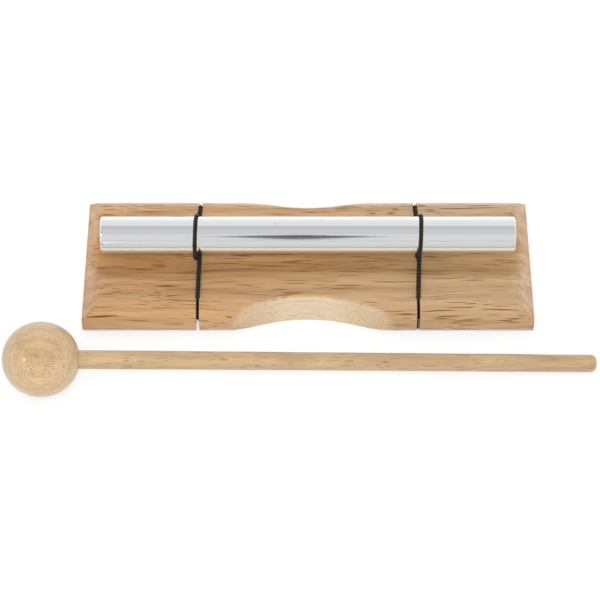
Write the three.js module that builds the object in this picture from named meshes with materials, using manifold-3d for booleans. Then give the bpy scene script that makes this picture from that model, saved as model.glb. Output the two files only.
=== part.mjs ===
// Energy chime: a solid aluminium rod hung on two elastic cords over a wooden board.
// Its mallet lies in front of the board.
// Millimetres, +Z up, +X along the rod, origin at the middle of the board's underside.
import * as THREE from "three";
import { mergeVertices } from "three/addons/utils/BufferGeometryUtils.js";
import Module from "manifold-3d";

// Board
const BASE_LENGTH = 195;
const BASE_DEPTH = 72;
const BASE_HEIGHT = 15; // the long edges are half-rounds of this height
const END_BEVEL_INSET = 6;
const END_BEVEL_DROP = 4.5;
const GROOVE_WIDTH = 24.2;
const GROOVE_DEPTH = 2.5;
const SCOOP_RADIUS = 60;
const FRONT_SCOOP_DEPTH = 10.5;
const BACK_SCOOP_DEPTH = 6.5;

// Saw kerfs that pinch the cords
const CORD_SPACING = 95.2;
const KERF_WIDTH = 1.4;
const FRONT_KERF_DEPTH = 10.3;
const BACK_KERF_DEPTH = 8;

// Rod
const ROD_DIAMETER = 16;
const ROD_LENGTH = 180;
const ROD_EDGE_RADIUS = 0.9;

// Elastic cord
const CORD_DIAMETER = 1.8;
const CORD_DIP = 0.9; // how far the rod presses the crossing strand below its level on the board
const TURN_GAP = 0.5; // between the two strands that cross under the rod
const TURN_INSET = 0.3; // the turn ends this far inside its kerf's line
const KNOT_LENGTH = 6.4;
const KNOT_WIDTH = 5;
const KNOT_HEIGHT = 3.2;
const KNOT_ROOM = 2.3; // round the knot, for fingers and for the cord's ends

// Mallet
const HEAD_DIAMETER = 32;
const HEAD_LENGTH = 33.2;
const SOCKET_DEPTH = 18;
const HANDLE_DIAMETER = 8; // where it leaves the head
const BUTT_DIAMETER = 7.5;
const BUTT_ROUNDING = 2.2;
const MALLET_LENGTH = 253;
const MALLET_FRONT_GAP = 10.9; // from the board's front line to the head
const HEAD_PAST_BASE = 15.3; // from the board's end to the middle of the head
const MALLET_YAW = THREE.MathUtils.degToRad(2.1);

// Clearances
const FIT_GAP = 0.3; // between pieces that touch
const TABLE_GAP = 0.5; // between the table and the cord under the board
const LEAST_TURN_GAP = 0.4; // that a cord keeps to itself
const OVERCUT = 2; // how far a cutting solid runs past what it cuts
const SAME_POINT = 1e-4; // corners nearer than this are one

// Fineness of the round forms
const EDGE_STEPS = 10;
const SCOOP_STEPS = 128;
const GROOVE_STEPS = 96;
const ROUND_STEPS = 48;
const CORNER_STEPS = 5;
const TURN_STEPS = 24;
const CORD_SIDES = 8;
const CORD_STEPS = 190;

// Worked out from the sizes above
const EDGE_RADIUS = BASE_HEIGHT / 2;
const CORD_RADIUS = CORD_DIAMETER / 2;
const ROD_RADIUS = ROD_DIAMETER / 2;
const CORD_REST = CORD_RADIUS + FIT_GAP; // from a surface to the middle of a cord that lies on it
const LOWER_STRAND_Z = BASE_HEIGHT + CORD_REST - CORD_DIP;
const UPPER_STRAND_Z = LOWER_STRAND_Z + CORD_DIAMETER + TURN_GAP;
const ROD_Z = UPPER_STRAND_Z + CORD_REST + ROD_RADIUS;
const TURN_OUTSET = CORD_DIAMETER + TURN_GAP; // the turn starts this far outside its kerf's line
const FRONT_KERF_Y = FRONT_KERF_DEPTH - BASE_DEPTH / 2;
const BACK_KERF_Y = BASE_DEPTH / 2 - BACK_KERF_DEPTH;
const UNDER_CORD_Z = TABLE_GAP + CORD_RADIUS;
const UNDER_GROOVE_DEPTH = UNDER_CORD_Z + CORD_REST;
const KNOT_Z = TABLE_GAP + KNOT_HEIGHT / 2;
const KNOT_POCKET_DEPTH = KNOT_Z + KNOT_HEIGHT / 2 + FIT_GAP;
const KNOT_POCKET_RADIUS = KNOT_LENGTH / 2 + KNOT_ROOM;

const WOOD = { color: 0xc39e76, roughness: 0.55, metalness: 0 };
const PALE_WOOD = { color: 0xd6b892, roughness: 0.5, metalness: 0 };
const ALUMINIUM = { color: 0xd2d3d6, roughness: 0.25, metalness: 1 };
const ELASTIC = { color: 0x26231f, roughness: 0.85, metalness: 0 };

const wasm = await Module();
wasm.setup();

// Turns a closed geometry into a solid that can be cut and joined.
function solid(geometry) {
  const bare = geometry.index ? geometry.toNonIndexed() : geometry.clone();
  bare.deleteAttribute("normal");
  bare.deleteAttribute("uv");
  const merged = mergeVertices(bare, SAME_POINT);
  return new wasm.Manifold(
    new wasm.Mesh({
      numProp: 3,
      vertProperties: merged.getAttribute("position").array,
      triVerts: new Uint32Array(merged.index.array),
    }),
  );
}

// Turns a cut or joined solid back into a geometry.
function geometryOf(cut) {
  const mesh = cut.getMesh();
  const geometry = new THREE.BufferGeometry();
  geometry.setAttribute("position", new THREE.BufferAttribute(mesh.vertProperties, mesh.numProp));
  geometry.setIndex(new THREE.BufferAttribute(mesh.triVerts, 1));
  geometry.computeVertexNormals();
  return geometry;
}

function meshOf(name, geometry, finish) {
  const mesh = new THREE.Mesh(geometry, new THREE.MeshStandardMaterial(finish));
  mesh.name = name;
  return mesh;
}

// A block between two corners.
function block(low, high) {
  const size = low.map((value, i) => high[i] - value);
  const middle = low.map((value, i) => (high[i] + value) / 2);
  return new THREE.BoxGeometry(...size).translate(...middle);
}

// The board's section in Y and Z, drawn along X.
function boardBlank() {
  const flat = BASE_DEPTH / 2 - EDGE_RADIUS;
  const section = new THREE.Shape();
  section.moveTo(-flat, 0);
  section.lineTo(flat, 0);
  section.absarc(flat, EDGE_RADIUS, EDGE_RADIUS, -Math.PI / 2, Math.PI / 2);
  section.lineTo(-flat, BASE_HEIGHT);
  section.absarc(-flat, EDGE_RADIUS, EDGE_RADIUS, Math.PI / 2, Math.PI * 1.5);
  const drawn = new THREE.ExtrudeGeometry(section, {
    depth: BASE_LENGTH,
    bevelEnabled: false,
    curveSegments: EDGE_STEPS,
  });
  const lieAlongX = new THREE.Matrix4().makeBasis(
    new THREE.Vector3(0, 1, 0),
    new THREE.Vector3(0, 0, 1),
    new THREE.Vector3(1, 0, 0),
  );
  return drawn.applyMatrix4(lieAlongX).translate(-BASE_LENGTH / 2, 0, 0);
}

// The wedge that bevels the top edge of one end.
function endBevelCutter(side) {
  const slope = END_BEVEL_DROP / END_BEVEL_INSET;
  const past = OVERCUT * slope;
  const wedge = new THREE.Shape();
  wedge.moveTo(BASE_LENGTH / 2 - END_BEVEL_INSET - OVERCUT, BASE_HEIGHT + past);
  wedge.lineTo(BASE_LENGTH / 2 + OVERCUT, BASE_HEIGHT - END_BEVEL_DROP - past);
  wedge.lineTo(BASE_LENGTH / 2 + OVERCUT, BASE_HEIGHT + past);
  const length = BASE_DEPTH + 2 * OVERCUT;
  const cutter = new THREE.ExtrudeGeometry(wedge, { depth: length, bevelEnabled: false });
  cutter.rotateX(Math.PI / 2).translate(0, length / 2, 0);
  return side > 0 ? cutter : cutter.rotateZ(Math.PI);
}

// The long cove under the rod.
function rodGrooveCutter() {
  const radius = (GROOVE_WIDTH ** 2 / 4 + GROOVE_DEPTH ** 2) / (2 * GROOVE_DEPTH);
  const cutter = new THREE.CylinderGeometry(radius, radius, BASE_LENGTH + 2 * OVERCUT, GROOVE_STEPS);
  return cutter.rotateZ(Math.PI / 2).translate(0, 0, BASE_HEIGHT - GROOVE_DEPTH + radius);
}

// The upright drum that sands a finger scoop into a long edge.
function scoopCutter(side, depth) {
  const cutter = new THREE.CylinderGeometry(
    SCOOP_RADIUS,
    SCOOP_RADIUS,
    BASE_HEIGHT + 2 * OVERCUT,
    SCOOP_STEPS,
  );
  const middle = BASE_DEPTH / 2 - depth + SCOOP_RADIUS;
  return cutter.rotateX(Math.PI / 2).translate(0, side * middle, BASE_HEIGHT / 2);
}

// The two kerfs, the underside groove and the knot's pocket of one cord.
function cordCutters(x) {
  const halfKerf = KERF_WIDTH / 2;
  const out = BASE_DEPTH / 2 + OVERCUT;
  const top = BASE_HEIGHT + OVERCUT;
  const pocket = new THREE.CylinderGeometry(
    KNOT_POCKET_RADIUS,
    KNOT_POCKET_RADIUS,
    KNOT_POCKET_DEPTH + OVERCUT,
    ROUND_STEPS,
  );
  pocket.rotateX(Math.PI / 2).translate(x, 0, (KNOT_POCKET_DEPTH - OVERCUT) / 2);
  return [
    block([x - halfKerf, -out, -OVERCUT], [x + halfKerf, FRONT_KERF_Y, top]),
    block([x - halfKerf, BACK_KERF_Y, -OVERCUT], [x + halfKerf, out, top]),
    block([x - CORD_REST, FRONT_KERF_Y, -OVERCUT], [x + CORD_REST, BACK_KERF_Y, UNDER_GROOVE_DEPTH]),
    pocket,
  ];
}

function baseBlock() {
  const cutters = [
    endBevelCutter(1),
    endBevelCutter(-1),
    rodGrooveCutter(),
    scoopCutter(-1, FRONT_SCOOP_DEPTH),
    scoopCutter(1, BACK_SCOOP_DEPTH),
    ...cordCutters(-CORD_SPACING / 2),
    ...cordCutters(CORD_SPACING / 2),
  ];
  let board = solid(boardBlank());
  for (const cutter of cutters) board = board.subtract(solid(cutter));
  return meshOf("base_block", geometryOf(board), WOOD);
}

// Points of a quarter circle in the YZ plane, from one angle to another.
function corner(x, y, z, radius, from, to) {
  const points = [];
  for (let i = 0; i <= CORNER_STEPS; i++) {
    const angle = THREE.MathUtils.lerp(from, to, i / CORNER_STEPS);
    points.push(new THREE.Vector3(x, y + radius * Math.cos(angle), z + radius * Math.sin(angle)));
  }
  return points;
}

// One full turn round the rod: from under it up its front, over it and down its back, leaning inwards.
function turnRoundRod(x, outward) {
  const points = [];
  const lowerReach = ROD_Z - LOWER_STRAND_Z;
  const closeReach = ROD_Z - UPPER_STRAND_Z;
  const settled = Math.PI / 3; // the turn lies on the rod from this angle on
  const widest = Math.PI / 7; // where it passes beside the strand that leaves
  for (let i = 0; i <= TURN_STEPS; i++) {
    const angle = (i / TURN_STEPS) * 2 * Math.PI;
    const reach = THREE.MathUtils.lerp(lowerReach, closeReach, THREE.MathUtils.smoothstep(angle, 0, settled));
    const rise = THREE.MathUtils.lerp(TURN_OUTSET / 2, TURN_OUTSET, Math.min(1, angle / widest));
    const after = Math.max(0, angle - widest) / (2 * Math.PI - widest);
    const lean = THREE.MathUtils.lerp(rise, -TURN_INSET, after);
    points.push(
      new THREE.Vector3(
        x + outward * lean,
        -reach * Math.sin(angle),
        ROD_Z - reach * Math.cos(angle),
      ),
    );
  }
  return points;
}

// The middle line of one cord: from its knot by the back kerf to the turn, and by the front kerf back.
function cordRoute(x) {
  const outward = Math.sign(x);
  const quarter = Math.PI / 2;
  return [
    new THREE.Vector3(x, KNOT_LENGTH / 4, UNDER_CORD_Z),
    new THREE.Vector3(x, BACK_KERF_Y / 2, UNDER_CORD_Z),
    ...corner(x, BACK_KERF_Y, UNDER_GROOVE_DEPTH, CORD_REST, -quarter, 0),
    new THREE.Vector3(x, BACK_KERF_Y + CORD_REST, BASE_HEIGHT / 2),
    ...corner(x, BACK_KERF_Y, BASE_HEIGHT, CORD_REST, 0, quarter),
    new THREE.Vector3(x, GROOVE_WIDTH / 2, BASE_HEIGHT + CORD_REST),
    ...turnRoundRod(x, outward),
    new THREE.Vector3(x, FRONT_KERF_Y / 2, (UPPER_STRAND_Z + BASE_HEIGHT + CORD_REST) / 2),
    ...corner(x, FRONT_KERF_Y, BASE_HEIGHT, CORD_REST, quarter, 2 * quarter),
    new THREE.Vector3(x, FRONT_KERF_Y - CORD_REST, BASE_HEIGHT / 2),
    ...corner(x, FRONT_KERF_Y, UNDER_GROOVE_DEPTH, CORD_REST, 2 * quarter, 3 * quarter),
    new THREE.Vector3(x, FRONT_KERF_Y / 2, UNDER_CORD_Z),
    new THREE.Vector3(x, -KNOT_LENGTH / 4, UNDER_CORD_Z),
  ];
}

// The least gap between stretches of a cord that lie further apart along it than they do in space.
function leastGapToItself(route) {
  const points = route.getSpacedPoints(CORD_STEPS * 2);
  const step = route.getLength() / (CORD_STEPS * 2);
  const apart = Math.ceil((Math.PI * CORD_DIAMETER) / step);
  let least = Infinity;
  points.forEach((a, i) => {
    for (let j = i + apart; j < points.length; j++) least = Math.min(least, a.distanceTo(points[j]));
  });
  return least - CORD_DIAMETER;
}

// Blocks that trim a cord to the width that its kerfs leave it.
function pinchCutters(x) {
  const half = KERF_WIDTH / 2 - FIT_GAP;
  const top = BASE_HEIGHT + FIT_GAP;
  const out = BASE_DEPTH / 2 + OVERCUT;
  const cutters = [];
  for (const [near, far] of [[-out, FRONT_KERF_Y], [BACK_KERF_Y, out]]) {
    cutters.push(block([x + half, near, -OVERCUT], [x + CORD_DIAMETER, far, top]));
    cutters.push(block([x - CORD_DIAMETER, near, -OVERCUT], [x - half, far, top]));
  }
  return cutters;
}

function cord(name, x) {
  const route = new THREE.CatmullRomCurve3(cordRoute(x), false, "centripetal");
  const round = new THREE.Shape();
  for (let i = 0; i < CORD_SIDES; i++) {
    const angle = ((i + 0.5) / CORD_SIDES) * 2 * Math.PI;
    const place = [CORD_RADIUS * Math.cos(angle), CORD_RADIUS * Math.sin(angle)];
    if (i === 0) round.moveTo(...place);
    else round.lineTo(...place);
  }
  const tube = new THREE.ExtrudeGeometry(round, { steps: CORD_STEPS, extrudePath: route });
  const knot = new THREE.SphereGeometry(0.5, ROUND_STEPS / 3, ROUND_STEPS / 4);
  knot.scale(KNOT_WIDTH, KNOT_LENGTH, KNOT_HEIGHT);
  knot.translate(x, 0, KNOT_Z);
  let whole = solid(tube).add(solid(knot));
  for (const cutter of pinchCutters(x)) whole = whole.subtract(solid(cutter));
  const gap = leastGapToItself(route);
  console.log(`${name}: ${route.getLength().toFixed(1)} mm long, least gap to itself ${gap.toFixed(2)} mm`);
  if (gap < LEAST_TURN_GAP) throw new Error(`${name} comes within ${gap.toFixed(2)} mm of itself`);
  return meshOf(name, geometryOf(whole), ELASTIC);
}

// Points of a quarter-round edge on a turned piece, as radius and place along its axis.
function roundedEdge(radius, along, rounding, outwards) {
  const points = [];
  for (let i = 0; i <= CORNER_STEPS; i++) {
    const angle = (i / CORNER_STEPS) * (Math.PI / 2);
    const turn = outwards > 0 ? angle : Math.PI / 2 - angle;
    points.push(
      new THREE.Vector2(
        radius - rounding + rounding * Math.cos(turn),
        along - outwards * (rounding - rounding * Math.sin(turn)),
      ),
    );
  }
  return points;
}

// A turned piece, with its axis laid along X.
function turned(name, profile, finish) {
  const geometry = new THREE.LatheGeometry(profile, ROUND_STEPS);
  geometry.rotateZ(-Math.PI / 2);
  return meshOf(name, geometryOf(solid(geometry)), finish);
}

function soundRod() {
  const half = ROD_LENGTH / 2;
  const rod = turned(
    "sound_rod",
    [
      new THREE.Vector2(0, -half),
      ...roundedEdge(ROD_RADIUS, -half, ROD_EDGE_RADIUS, -1),
      ...roundedEdge(ROD_RADIUS, half, ROD_EDGE_RADIUS, 1),
      new THREE.Vector2(0, half),
    ],
    ALUMINIUM,
  );
  rod.position.z = ROD_Z;
  return rod;
}

// The ball, with its blind socket open towards the handle.
function malletHead() {
  const mouth = HANDLE_DIAMETER / 2 + FIT_GAP;
  const last = Math.asin(mouth / (HEAD_DIAMETER / 2));
  const profile = [];
  const steps = ROUND_STEPS / 2;
  for (let i = 0; i <= steps; i++) {
    const angle = THREE.MathUtils.lerp(0, Math.PI - last, i / steps);
    profile.push(
      new THREE.Vector2((HEAD_DIAMETER / 2) * Math.sin(angle), (-HEAD_LENGTH / 2) * Math.cos(angle)),
    );
  }
  const floor = HEAD_LENGTH / 2 - SOCKET_DEPTH;
  profile.push(new THREE.Vector2(mouth, floor), new THREE.Vector2(0, floor));
  return turned("mallet_head", profile, PALE_WOOD);
}

// The stick, from its glued end in the socket to its rounded butt.
function malletHandle() {
  const start = HEAD_LENGTH / 2 - SOCKET_DEPTH + FIT_GAP;
  const butt = MALLET_LENGTH - HEAD_LENGTH / 2;
  return turned(
    "mallet_handle",
    [
      new THREE.Vector2(0, start),
      new THREE.Vector2(HANDLE_DIAMETER / 2, start),
      new THREE.Vector2(HANDLE_DIAMETER / 2, HEAD_LENGTH / 2),
      ...roundedEdge(BUTT_DIAMETER / 2, butt, BUTT_ROUNDING, 1),
      new THREE.Vector2(0, butt),
    ],
    PALE_WOOD,
  );
}

// The mallet lies on the table, on its head and on the edge of its butt.
function mallet() {
  const headRadius = HEAD_DIAMETER / 2;
  const buttRadius = BUTT_DIAMETER / 2;
  const reach = MALLET_LENGTH - HEAD_LENGTH / 2 - BUTT_ROUNDING;
  const tilt = Math.asin(headRadius / Math.hypot(reach, buttRadius)) - Math.atan(buttRadius / reach);
  const leaning = new THREE.Group();
  leaning.rotation.y = tilt;
  leaning.add(malletHead(), malletHandle());
  const lying = new THREE.Group();
  lying.position.set(
    -(BASE_LENGTH / 2 + HEAD_PAST_BASE),
    -(BASE_DEPTH / 2 + MALLET_FRONT_GAP + headRadius),
    headRadius,
  );
  lying.rotation.z = MALLET_YAW;
  lying.add(leaning);
  return lying;
}

const chime = new THREE.Group();
chime.add(
  baseBlock(),
  soundRod(),
  cord("left_cord", -CORD_SPACING / 2),
  cord("right_cord", CORD_SPACING / 2),
  mallet(),
);

export default chime;
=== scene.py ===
"""Energy chime: a polished rod on two elastic cords over a wooden board, with its ball mallet in front."""

import logging
import math
from dataclasses import dataclass
from enum import Enum
from functools import partial
from typing import Any, Callable, Iterable, Sequence

import bmesh
import bpy
import numpy as np
from mathutils import Matrix, Vector


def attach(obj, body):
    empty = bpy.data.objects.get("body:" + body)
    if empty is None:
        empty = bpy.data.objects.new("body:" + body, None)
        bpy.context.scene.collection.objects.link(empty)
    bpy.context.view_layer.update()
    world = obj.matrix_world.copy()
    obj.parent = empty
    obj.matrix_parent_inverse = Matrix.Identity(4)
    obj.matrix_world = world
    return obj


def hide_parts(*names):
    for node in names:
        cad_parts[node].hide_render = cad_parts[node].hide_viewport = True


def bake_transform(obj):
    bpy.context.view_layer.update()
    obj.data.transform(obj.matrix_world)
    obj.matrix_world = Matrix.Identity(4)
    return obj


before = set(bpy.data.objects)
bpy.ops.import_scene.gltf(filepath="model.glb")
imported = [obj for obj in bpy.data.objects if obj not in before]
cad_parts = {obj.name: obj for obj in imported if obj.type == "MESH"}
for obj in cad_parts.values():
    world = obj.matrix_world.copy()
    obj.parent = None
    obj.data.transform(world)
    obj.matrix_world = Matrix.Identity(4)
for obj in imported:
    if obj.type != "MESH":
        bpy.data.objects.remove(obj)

log = logging.getLogger("energy_chime")

MM = 0.001

Point = tuple[float, float, float]
Mesh = tuple[np.ndarray, list[list[int]]]
Swept = tuple[np.ndarray, np.ndarray]
Socket = bpy.types.NodeSocket
Adder = Callable[..., Socket]
Links = dict[int | str, Any]


class Side(Enum):
    """The end of the board that a cord belongs to, as the sign of its X."""

    LEFT = -1
    RIGHT = 1


class Body(Enum):
    """The moving bodies that the pieces ride on."""

    BASE = "base"
    SUSPENSION = "suspension"
    ROD = "rod"
    MALLET = "mallet"


def linear(hex_colour: str) -> tuple[float, float, float, float]:
    """Turns an sRGB hex colour into the linear colour that the shaders take.

    Args:
        hex_colour: six hex digits with a leading hash.

    Returns:
        Linear red, green, blue and full alpha.
    """
    parts = [int(hex_colour[i : i + 2], 16) / 255 for i in (1, 3, 5)]
    red, green, blue = (p / 12.92 if p <= 0.04045 else ((p + 0.055) / 1.055) ** 2.4 for p in parts)
    return (red, green, blue, 1.0)


def come_in(value: float, width: float) -> float:
    """Gives how far a value has come from 0 to a width, as a share from 0 to 1."""
    return min(max(value / width, 0.0), 1.0)


def feed(node: bpy.types.Node, links: Links) -> None:
    """Feeds a node's inputs.

    Args:
        node: the node.
        links: input name or number to a value, or to the output socket that feeds it.
    """
    for key, value in links.items():
        socket = node.inputs[key]
        if isinstance(value, Socket):
            node.id_data.links.new(value, socket)
        else:
            socket.default_value = value


def add_node(
    tree: bpy.types.NodeTree, kind: str, links: Links | None = None, out: int | str = 0, **settings: Any
) -> Socket | None:
    """Adds one shader node, sets it up and links it.

    Args:
        tree: the node tree that it goes into.
        kind: the node's type name without its ShaderNode prefix.
        links: input name or number to a value, or to the output socket that feeds it.
        out: the output that is wanted.
        settings: properties of the node itself.

    Returns:
        That output, or None from a node that has none.
    """
    node = tree.nodes.new("ShaderNode" + kind)
    for name, value in settings.items():
        setattr(node, name, value)
    feed(node, links or {})
    return node.outputs[out] if node.outputs else None


def new_material(name: str) -> tuple[bpy.types.Material, bpy.types.Node, Adder]:
    """Makes a material that holds a bare Principled shader.

    Args:
        name: the material and process that it stands for.

    Returns:
        The material, its Principled node, and add_node for its tree.
    """
    material = bpy.data.materials.new(name)
    material.use_nodes = True
    tree = material.node_tree
    return material, tree.nodes["Principled BSDF"], partial(add_node, tree)


def ring_wave(add: Adder, place: Socket, pitch: float) -> Socket:
    """Gives a wave that runs out in rings from the X axis.

    Args:
        add: add_node for the tree.
        place: where on the piece.
        pitch: from ring to ring, in the unit of the place.

    Returns:
        The wave, from -1 to 1.
    """
    across = add("VectorMath", {0: place, 1: (0.0, 1.0, 1.0)}, operation="MULTIPLY")
    radius = add("VectorMath", {0: across}, out="Value", operation="LENGTH")
    turns = add("Math", {0: radius, 1: 2 * math.pi / pitch}, operation="MULTIPLY")
    return add("Math", {0: turns}, operation="SINE")


@dataclass(frozen=True)
class LacqueredRubberwood:
    """Rubberwood, sanded and sealed with clear satin lacquer.

    The eye gets a warm tan ground with soft bands along the grain, a silk of fine fibres, and the open
    vessels as thin dark streaks; across the grain the same vessels are dots. Sizes are in millimetres.
    """

    name: str
    light: str = "#D1A97A"
    ground: str = "#C29868"
    deep: str = "#B08351"
    vessel: str = "#6C3C08"
    routed: str = "#DDCAAE"  # paler wood opened by a cutter, plus painted light: the brightness of the scoops' lit walls
    left_tint: str = "#FFFFFF"  # the wood's colour drifts between these two along the piece
    right_tint: str = "#FFFFFF"
    tint_reach: float = 60.0
    band_width: float = 5.0
    band_length: float = 110.0
    fibre_width: float = 0.4  # real fibres are finer: this coarse they still show
    fibre_length: float = 22.0
    silk: tuple[float, float] = (0.87, 1.12)  # how far the fibres darken and lighten the ground
    vessel_width: float = 0.5  # a little over the real width, so that it shows
    dash_length: float = 15.0
    line_length: float = 46.0
    vessel_share: float = 0.27  # how much of its own room a vessel fills
    crowd_length: float = 45.0
    crowd_width: float = 6.0
    crowding: tuple[float, float] = (0.4, 1.35)  # strength of the vessels outside the crowds and in them
    end_grain: float = 0.4  # how much of the vessels shows where the wood is cut across
    opened_vessels: float = 0.25  # how much of them shows where a cutter has opened the wood
    opened_rings: float = 0.3
    raw_shade: float = 0.98  # painted shade: how bright the cove under the rod and the scoop walls are set
    ring_pitch: float = 3.2
    ring_depth: float = 0.05  # how far a growth ring darkens the wood
    pith: tuple[float, float] = (14.0, -38.0)  # the heart of the tree, across the grain
    wander: float = 2.6
    wander_length: float = 45.0
    roughness: float = 0.36
    relief: float = 0.15
    lacquer: float = 0.3  # weight of the clear coat
    lacquer_roughness: float = 0.25

    def build(self) -> bpy.types.Material:
        """Builds the wood's nodes, with its grain along the piece's own X."""
        material, shader, add = new_material(self.name)
        opened_and_lit = add("Attribute", out="Fac", attribute_name="routed")
        raw = add("Attribute", out="Fac", attribute_name="raw")
        place = add("TexCoord", out="Object")
        size = add("VectorMath", {0: place, "Scale": 1 / MM}, operation="SCALE")

        # The grain wanders sideways, slowly along the board.
        slowness = tuple(s / self.wander_length for s in (1, 2, 2))
        slow = add("VectorMath", {0: size, 1: slowness}, operation="MULTIPLY")
        drift = add("TexNoise", {"Vector": slow, "Scale": 1.0, "Detail": 1.0}, out="Color")
        centred = add("VectorMath", {0: drift, 1: (0.5, 0.5, 0.5)}, operation="SUBTRACT")
        sway = (0.0, self.wander * 2, self.wander * 2)
        swayed = add("VectorMath", {0: centred, 1: sway, 2: size}, operation="MULTIPLY_ADD")

        def stretched(length: float, width: float) -> Socket:
            """Gives places in the wandering grain, counted in lengths along it and in widths across it."""
            spread = (1 / length, 1 / width, 1 / width)
            return add("VectorMath", {0: swayed, 1: spread}, operation="MULTIPLY")

        def along_grain(length: float, width: float, detail: float) -> Socket:
            """Gives a noise whose blots are about one length long and one width wide."""
            blots = {"Vector": stretched(length, width), "Scale": 1.0, "Detail": detail, "Roughness": 0.6}
            return add("TexNoise", blots)

        bands = along_grain(self.band_length, self.band_width, 3.0)
        fibres = along_grain(self.fibre_length, self.fibre_width, 3.0)
        ramp = add("ValToRGB", {"Fac": bands})
        stops = ramp.node.color_ramp.elements
        stops[0].position, stops[0].color = 0.28, linear(self.deep)
        stops[1].position, stops[1].color = 0.74, linear(self.light)
        stops.new(0.5).color = linear(self.ground)
        run = add("SeparateXYZ", {0: size}, out="X")
        share = add("MapRange", {"Value": run, "From Min": -self.tint_reach, "From Max": self.tint_reach})
        tints = {"Factor": share, "A": linear(self.left_tint), "B": linear(self.right_tint)}
        tint = add("Mix", tints, out="Result", data_type="RGBA")
        toned = add("VectorMath", {0: ramp, 1: tint}, operation="MULTIPLY")

        # Growth rings round the heart of the tree, which lies off to one side of the piece.
        off_heart = add("VectorMath", {0: swayed, 1: (0.0, *self.pith)}, operation="SUBTRACT")
        rings = ring_wave(add, off_heart, self.ring_pitch)
        depths = {"From Min": -1.0, "To Min": -self.ring_depth, "To Max": self.ring_depth}
        ringed = add("MapRange", {"Value": rings, **depths})
        darkest, palest = self.silk
        sheen = {"From Min": 0.25, "From Max": 0.75, "To Min": darkest, "To Max": palest}
        silk = add("MapRange", {"Value": fibres, **sheen})
        plain = add("MapRange", {"Value": opened_and_lit, "To Min": 1.0, "To Max": self.opened_rings})
        shade = add("Math", {0: ringed, 1: plain, 2: silk}, operation="MULTIPLY_ADD")

        # Vessels: each cell of a long, thin pattern holds one streak, fainter in some; they come in crowds.
        crowd = along_grain(self.crowd_length, self.crowd_width, 1.0)
        sparse, dense = self.crowding
        crowds = {"From Min": 0.3, "From Max": 0.58, "To Min": sparse, "To Max": dense}
        crowded = add("MapRange", {"Value": crowd, **crowds})
        dark = None
        room = 2 * self.vessel_share
        sizes = ((self.dash_length, self.vessel_width), (self.line_length, self.vessel_width * 0.9))
        for length, width in sizes:
            cell = add("TexVoronoi", {"Vector": stretched(length / room, width / room), "Scale": 1.0})
            streak = add("MapRange", {"Value": cell, "From Min": room / 2, "From Max": room * 0.34})
            chance = add("SeparateColor", {0: cell.node.outputs["Color"]})
            strength = add("MapRange", {"Value": chance, "To Min": 0.42, "To Max": 1.0})
            likely = add("Math", {0: strength, 1: crowded}, operation="MULTIPLY")
            drawn = add("Math", {0: streak, 1: likely}, operation="MULTIPLY")
            dark = drawn if dark is None else add("Math", {0: dark, 1: drawn}, operation="MAXIMUM")

        # Where the cutter has opened the wood, it is paler and its vessels are faint; that paleness also
        # holds painted light, the brightness of the scoops' lit walls.
        pale = {"Factor": opened_and_lit, "A": toned, "B": linear(self.routed)}
        ground = add("Mix", pale, out="Result", data_type="RGBA")
        # Painted shade: the cove under the rod and the scoop walls are set a little darker.
        raw_painted_shade = add("MapRange", {"Value": raw, "To Min": 1.0, "To Max": self.raw_shade})
        raw_shaded = add("Math", {0: shade, 1: raw_painted_shade}, operation="MULTIPLY")
        silky = add("VectorMath", {0: ground, "Scale": raw_shaded}, operation="SCALE")
        faint = add("MapRange", {"Value": opened_and_lit, "To Min": 1.0, "To Max": self.opened_vessels})
        facing = add("NewGeometry", out="Normal")
        endways = add("SeparateXYZ", {0: facing}, out="X")
        steep = add("Math", {0: endways}, operation="ABSOLUTE")
        slopes = {"From Min": 0.25, "From Max": 0.55, "To Min": 1.0, "To Max": self.end_grain}
        shown = add("MapRange", {"Value": steep, **slopes})
        some = add("Math", {0: faint, 1: shown}, operation="MULTIPLY")
        vessels = add("Math", {0: dark, 1: some}, operation="MULTIPLY")
        streaked = {"Factor": vessels, "A": silky, "B": linear(self.vessel)}
        colour = add("Mix", streaked, out="Result", data_type="RGBA")

        gloss = {"To Min": self.roughness - 0.06, "To Max": self.roughness + 0.1}
        rough = add("MapRange", {"Value": fibres, **gloss})
        pits = add("Math", {0: vessels, 1: -0.7, 2: fibres}, operation="MULTIPLY_ADD")
        bump = add("Bump", {"Height": pits, "Strength": self.relief, "Distance": 0.2 * MM})
        feed(shader, {"Base Color": colour, "Roughness": rough, "Normal": bump, "IOR": 1.5})
        feed(shader, {"Coat Roughness": self.lacquer_roughness})

        # Open vessels hold no lacquer, and the cutter's own surfaces, hardly sanded, have drunk it.
        bare = add("Math", {0: raw, 1: vessels}, operation="MAXIMUM")
        for socket, sealed, dull in (("Specular IOR Level", 0.5, 0.1), ("Coat Weight", self.lacquer, 0.0)):
            feed(shader, {socket: add("MapRange", {"Value": bare, "To Min": sealed, "To Max": dull})})
        return material


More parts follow.
